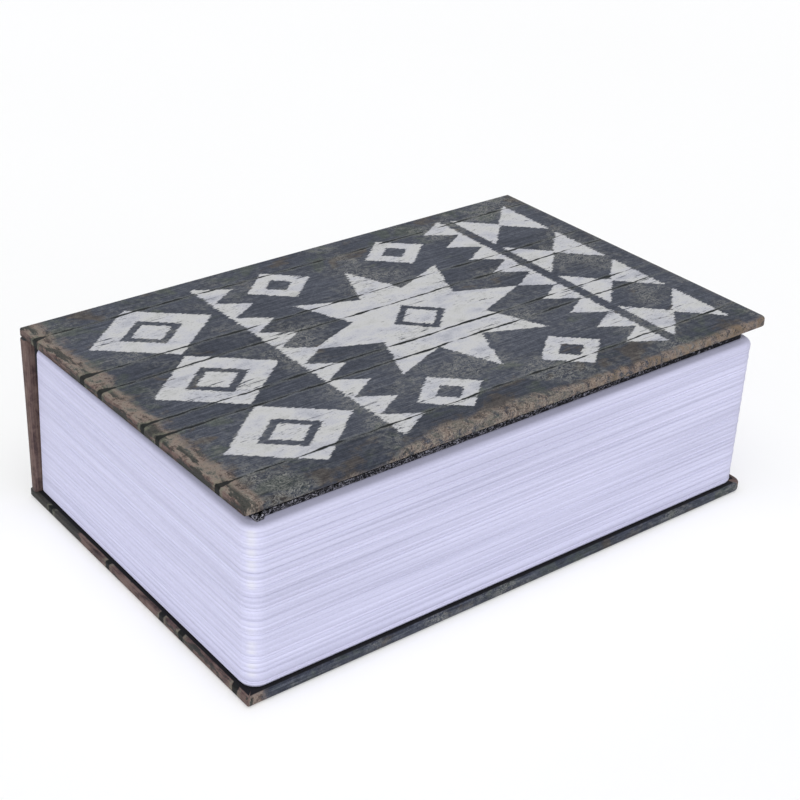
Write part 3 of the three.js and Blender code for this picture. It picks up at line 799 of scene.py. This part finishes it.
def tilted(rings):
    """From the front cover's own frame to the row frame, with the slight skew of a paper joint."""
    c, s = math.cos(COVER_SKEW), math.sin(COVER_SKEW)
    rings = [
        np.c_[
            HALF_WIDTH + (r[:, 0] - HALF_WIDTH) * c - r[:, 1] * s,
            (r[:, 0] - HALF_WIDTH) * s + r[:, 1] * c,
            r[:, 2],
        ]
        for r in rings
    ]
    c, s = math.cos(COVER_TILT), math.sin(COVER_TILT)
    return [
        np.c_[
            r[:, 0] * c - r[:, 2] * s - HALF_WIDTH,
            r[:, 1],
            r[:, 0] * s + r[:, 2] * c + HINGE_Z,
        ]
        for r in rings
    ]


def upturned(rings):
    """From the back cover's own frame, with its printed face up, to its place under the book."""
    return [np.c_[r[:, 0] - HALF_WIDTH, r[:, 1], THICK - r[:, 2]] for r in rings]


def onward(sheets, start, run=1.0):
    """Places on the printed sheet, counted from a start, back towards the fore-edge where run is -1."""
    return np.concatenate([np.c_[start + run * r[:, 0], r[:, 1], r[:, 2]] for r in sheets])


rings, sheets = cover(FRONT_SPINE, FRONT_FORE, FRONT_HALF, 2.2)
front = piece("front_case", *skin(tilted(rings)), sheet=np.concatenate(sheets))
paint(front, "front")
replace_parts(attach(front, "front_cover"), "front_wrap")

rings, sheets = cover(0.0, BACK_FORE, HALF_LENGTH, 3.4)
back = piece("back_case", *skin(upturned(rings)), sheet=onward(sheets, BACK_START, -1.0))
paint(back, "back")
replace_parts(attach(back, "book"), "back_wrap")

lining = piece("front_pastedown", *skin(tilted(pastedown(FRONT_LINING, FRONT_FORE))))
paint(lining, "paper")
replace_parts(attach(lining, "front_cover"), "front_lining")

lining = piece("back_pastedown", *skin(upturned(pastedown(0.0, BACK_FORE))))
paint(lining, "paper")
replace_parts(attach(lining, "book"), "back_lining")


def spine():
    """
    Spine board in its wrap, standing on the back cover. Its outer face flares a little towards the top, its
    long edges are rounded, and the print turns in over its ends.
    """
    radius, steps = 0.7, 12
    foot, top = THICK + 0.3, SPINE_TOP - 0.3
    levels = [(0.3, THICK), (0.08, THICK + 0.1), (0.0, foot)]
    levels += [(0.0, foot + (top - foot) * k / steps) for k in range(1, steps + 1)]
    levels += [(0.08, SPINE_TOP - 0.1), (0.3, SPINE_TOP)]
    rings, sheets = [], []
    for inset, z in levels:
        flare = 0.22 * max(0.0, (z - 30.0) / 22.7) ** 2
        ring, ways = outline(
            SPINE_FACE + inset - flare,
            SPINE_FACE + THICK - inset,
            inset - HALF_LENGTH,
            HALF_LENGTH - inset,
            radius - inset,
            short=3,
            long=30,
        )
        depth = ring[:, 0] - SPINE_FACE
        beyond = np.where(ways[:, 0] > 0.5, depth + 2.0 * (HALF_LENGTH - abs(ring[:, 1])), depth)
        across = np.where(ring[:, 1] < 0, ring[:, 1] - beyond, ring[:, 1] + beyond)
        sheets.append(np.c_[np.full(len(ring), z - HINGE_Z), across, np.zeros(len(ring))])
        rings.append(level(ring, z, -HALF_WIDTH))
    return rings, sheets


rings, sheets = spine()
spine_case = piece("spine_case", *skin(rings), sheet=np.concatenate(sheets))
paint(spine_case, "spine", "paper")
for face in spine_case.data.polygons:
    inner = face.normal.x > 0.7 and abs(face.center.y / MM) < HALF_LENGTH - TURN_IN
    if inner or abs(face.normal.z) > 0.9:
        face.material_index = 1
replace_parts(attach(spine_case, "book"), "spine_wrap")


def fold(path, half, filling, flip=1.0, skew=0.0):
    """
    Sheet of paper along a path of (x, z) points, reaching half its length to tail and head; behind it, glue
    fills the corner by up to the filling. The far end of the path follows a cover's skew.
    """
    thickness, steps = 0.16, 24
    path = np.array(path, float)
    way = np.gradient(path, axis=0)
    way /= np.linalg.norm(way, axis=1)[:, None]
    normal = np.c_[-way[:, 1], way[:, 0]] * flip
    hump = np.sin(np.linspace(0, math.pi, len(path)))[:, None] * filling
    loop = np.concatenate([path - normal * hump, (path + normal * thickness)[::-1]])
    run = np.r_[0.0, np.cumsum(np.linalg.norm(np.diff(path, axis=0), axis=1))]
    follow = np.clip(1.8 * run / run[-1] - 0.6, 0, 1)
    run = np.concatenate([run, run[::-1]])
    follow = np.concatenate([follow, follow[::-1]])
    rings, sheets = [], []
    for k in range(steps + 1):
        y = 2 * half * k / steps - half
        shift = follow * -y * math.sin(skew)
        rings.append(np.c_[loop[:, 0] + shift - HALF_WIDTH, np.full(len(loop), y), loop[:, 1]])
        sheets.append(np.c_[run, np.full(len(loop), y), np.zeros(len(loop))])
    return rings, sheets


# Up the spine's outer face and over its top onto the front cover's edge
path = [
    (0.92, 50.6), (0.86, 51.4), (0.82, 52.2), (0.75, 52.7), (0.69, 53.05),
    (0.65, 53.4), (0.63, 53.8), (0.63, 54.3),
]
rings, sheets = fold(path, 89.2, 0.55, skew=COVER_SKEW)
joint = piece("front_joint", *skin(rings), sheet=onward(sheets, -2.4))
paint(joint, "spine")
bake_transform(joint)

# Down the spine's outer face onto the back cover's edge
path = [
    (0.9, 5.6), (0.88, 4.6), (0.82, 3.7), (0.66, 3.0), (0.42, 2.5), (0.25, 2.0), (0.2, 1.5),
]
rings, sheets = fold(path, 89.4, 0.5, flip=-1.0)
joint = piece("back_joint", *skin(rings), sheet=onward(sheets, -47.4, -1.0))
paint(joint, "spine")
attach(joint, "book")


# Page block


def block_levels():
    """
    (height, rounding, inset of the ribs) up the ribbed face, which is rounded at foot and rim; the ribs are
    uneven, with a broad plain band near the foot.
    """
    foot, rim, depth = 1.4, 1.5, 0.32
    plain, count = (0.6, 2.7, 1.6), 28
    levels = []
    for angle in QUARTER:
        levels.append((BLOCK_BOTTOM + foot * (1 - math.cos(angle)), foot * (1 - math.sin(angle)), 0.0))
    shares = [1 + 0.28 * (math.sin(2.4 * k) + math.sin(5.1 * k)) for k in range(count)]
    run = BLOCK_TOP - rim - BLOCK_BOTTOM - foot - sum(plain)
    z = BLOCK_BOTTOM + foot
    heights = list(plain) + [share / sum(shares) * run for share in shares]
    for k, tall in enumerate(heights):
        stand = 0.3 * depth * (0.5 + 0.5 * math.sin(3.7 * k + 1.0))
        deep = depth * (0.55 + 0.45 * math.sin(1.9 * k) ** 2)
        for part, inset in (
            (0.16, stand + deep * 0.3),
            (0.32, stand),
            (0.62, stand * 0.8),
            (0.8, stand + deep * 0.12),
            (0.92, stand + deep * 0.55),
        ):
            levels.append((z + tall * part, 0.0, inset))
        z += tall
        if k < len(heights) - 1:
            levels.append((z, 0.0, stand * 0.5 + deep))
    for angle in QUARTER:
        levels.append((BLOCK_TOP - rim * (1 - math.sin(angle)), rim * (1 - math.cos(angle)), 0.0))
    return levels


def page_block():
    """Ribbed frame: outside, rim, opening for the box, and the hollow behind the wall."""
    grid = 9, 26, 40
    rings = []

    def ring(x0, x1, half, fore, back, z, rib=0.0):
        """
        One ring, with corners of the radii fore and back; its ribs fade out over the first 10 mm from the
        spine side.
        """
        wide, _ = outline(x0, x1 - rib, rib - half, half - rib, fore - rib, *grid)
        tight, _ = outline(x0, x1, 0.1 - half, half - 0.1, back, *grid)
        blend = np.clip((wide[:, 0] - x0 - fore) / 10.0, 0, 1)[:, None]
        rings.append(level(tight * (1 - blend) + wide * blend, z, -HALF_WIDTH))

    for z, rounding, rib in block_levels():
        lean = 3.9 + 2.6 * (z - BLOCK_BOTTOM) / (BLOCK_TOP - BLOCK_BOTTOM)
        ring(lean, BLOCK_FORE - rounding, BLOCK_HALF - rounding, BLOCK_RADIUS - rounding, 1.2, z, rib)
    spine_side, lip, wall = 8.3, 6.0, 2.4
    mouth = spine_side, BLOCK_FORE - lip, BLOCK_HALF - lip, 1.0, 1.0
    hollow = spine_side, BLOCK_FORE - wall, BLOCK_HALF - wall, BLOCK_RADIUS - wall, 1.0
    under_rim, over_foot = BLOCK_TOP - 2.4, BLOCK_BOTTOM + 1.6
    ring(spine_side - 0.2, BLOCK_FORE - lip + 0.2, BLOCK_HALF - lip + 0.2, 1.2, 1.2, BLOCK_TOP)
    ring(*mouth, BLOCK_TOP)
    ring(*mouth, under_rim)
    ring(*hollow, under_rim)
    ring(*hollow, over_foot)
    ring(*mouth, over_foot)
    ring(*mouth, BLOCK_BOTTOM)
    return rings


block_piece = piece("page_edges", *skin(page_block(), ends="looped"))
paint(block_piece, "page")
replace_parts(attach(block_piece, "book"), "page_block")


# Steel box, lid and lock: the CAD pieces with broken edges

DRESSED = [
    ("box_body", "box_tray", "book", "coat", "black_steel", 0.22),
    ("box_lid", "lid_plate", "lid", "coat", "black_steel", 0.25),
    ("lock_keeper", "keeper_bracket", "book", "zinc", "zinc_steel", 0.15),
    ("hinge_pin", "hinge_wire", "book", "zinc", "zinc_steel", 0.15),
    ("lock_barrel", "lock_housing", "lid", "chrome", "lock_chrome", 0.18),
    ("lock_washer", "tooth_washer", "lid", "zinc", "zinc_steel", 0.1),
    ("lock_nut", "hex_nut", "lid", "zinc", "zinc_steel", 0.25),
    ("lock_plug", "lock_core", "lock", "chrome", "lock_chrome", 0.1),
    ("lock_cam", "cam_lever", "lock", "zinc", "zinc_steel", 0.15),
    ("cam_screw", "cam_bolt", "lock", "zinc", "zinc_steel", 0.15),
    ("cam_washer", "cam_ring", "lock", "zinc", "zinc_steel", 0.1),
]
for node, name, body, look, slot, width in DRESSED:
    made = paint(dressed(node, name, width), look)
    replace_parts(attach(made, body), node)


def mat():
    """Felt mat with soft edges."""
    low, high = (Vector(corner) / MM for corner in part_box("box_mat"))
    radius = 2.2
    levels = [(0.3, low.z), (0.0, low.z + 0.3)]
    levels += [(inset, high.z - drop) for inset, drop in ((0.0, 0.6), (0.15, 0.25), (0.6, 0.05))]
    rings = []
    for inset, z in levels:
        ring, _ = outline(low.x + inset, high.x - inset, low.y + inset, high.y - inset, radius)
        rings.append(level(ring, z))
    return rings


felt_mat = paint(piece("felt_mat", *skin(mat())), "felt")
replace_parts(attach(felt_mat, "book"), "box_mat")

SLOT_LOOKS = {
    "printed_paper": "spine",
    "grey_board": "board",
    "black_paper": "paper",
    "page_plastic": "page",
    "black_steel": "coat",
    "zinc_steel": "zinc",
    "lock_chrome": "chrome",
    "wafer_brass": "brass",
    "felt": "felt",
    "foam_tape": "foam",
}
for entry in frame["record"]["subparts"]:
    paint(frame["nodes"][entry["node"]], SLOT_LOOKS[entry["material_slot"]])


# Floor, light and camera

floor_look = Surface("floor", roughness=0.9)
x, y, z = floor_look.place()
cloud = floor_look.noise(x * 0.004, y * 0.004, z, 2.0)
floor_look.finish(floor_look.tones(cloud, (0.3, (0.95, 0.95, 0.95, 1)), (0.7, (0.96, 0.96, 0.96, 1))))
bpy.ops.mesh.primitive_plane_add(size=6.0, location=(0, 0, -0.0002))
floor = bpy.context.object
floor.name = "floor"
floor.data.materials.append(floor_look.material)

world = bpy.data.worlds.new("world")
bpy.context.scene.world = world
world.use_nodes = True
nodes, links = world.node_tree.nodes, world.node_tree.links
nodes.clear()
output = nodes.new("ShaderNodeOutputWorld")
rays, choose = nodes.new("ShaderNodeLightPath"), nodes.new("ShaderNodeMixShader")
seen = rays.outputs["Is Camera Ray"]
for kind in ("Is Glossy Ray", "Is Transmission Ray"):
    either = nodes.new("ShaderNodeMath")
    either.operation = "MAXIMUM"
    links.new(seen, either.inputs[0])
    links.new(rays.outputs[kind], either.inputs[1])
    seen = either.outputs[0]
links.new(seen, choose.inputs[0])
# Dim and bluish as a light, plain white where it is seen or reflected
for slot, colour, strength in ((1, (0.97, 0.98, 1.0, 1.0), 0.36), (2, (1.0, 1.0, 1.0, 1.0), 1.0)):
    background = nodes.new("ShaderNodeBackground")
    background.inputs["Color"].default_value = colour
    background.inputs["Strength"].default_value = strength
    links.new(background.outputs[0], choose.inputs[slot])
links.new(choose.outputs[0], output.inputs[0])


def soft_lamp(name, azimuth, elevation, strength, spread):
    """Even light from far away; spread is how wide its source looks."""
    data = bpy.data.lights.new(name, "SUN")
    data.energy, data.angle = strength, math.radians(spread)
    turn, lift = math.radians(azimuth), math.radians(elevation)
    towards = Vector((math.cos(turn) * math.cos(lift), math.sin(turn) * math.cos(lift), math.sin(lift)))
    lamp = placed(name, data)
    lamp.location = towards
    lamp.rotation_euler = towards.to_track_quat("Z", "Y").to_euler()


soft_lamp("front_light", -44, 38, 1.99, 12)
soft_lamp("top_light", -40, 80, 0.91, 60)

# The camera stands where a fit to the photograph's corners puts it
CAMERA_PLACE = (333.80, -268.21, 276.83)
CAMERA_RIGHT = (0.6090100, 0.7921109, 0.0408295)
CAMERA_DOWN = (0.4155672, -0.2748141, -0.8670532)
CAMERA_AHEAD = (-0.6755818, 0.5450114, -0.4965399)
FOCAL_PIXELS, IMAGE_PIXELS = 1691.9, 800.0
data = bpy.data.cameras.new("camera")
data.sensor_width = 36.0
data.lens = FOCAL_PIXELS / IMAGE_PIXELS * data.sensor_width
data.clip_start, data.clip_end = 0.05, 20.0
camera = placed("camera", data)
turn = Matrix((CAMERA_RIGHT, CAMERA_DOWN, CAMERA_AHEAD)).transposed()
turn = turn @ Matrix(((1, 0, 0), (0, -1, 0), (0, 0, -1)))
camera.matrix_world = Matrix.Translation([c * MM for c in CAMERA_PLACE]) @ turn.to_4x4()
bpy.context.scene.camera = camera
bpy.context.scene.view_settings.view_transform = "Standard"
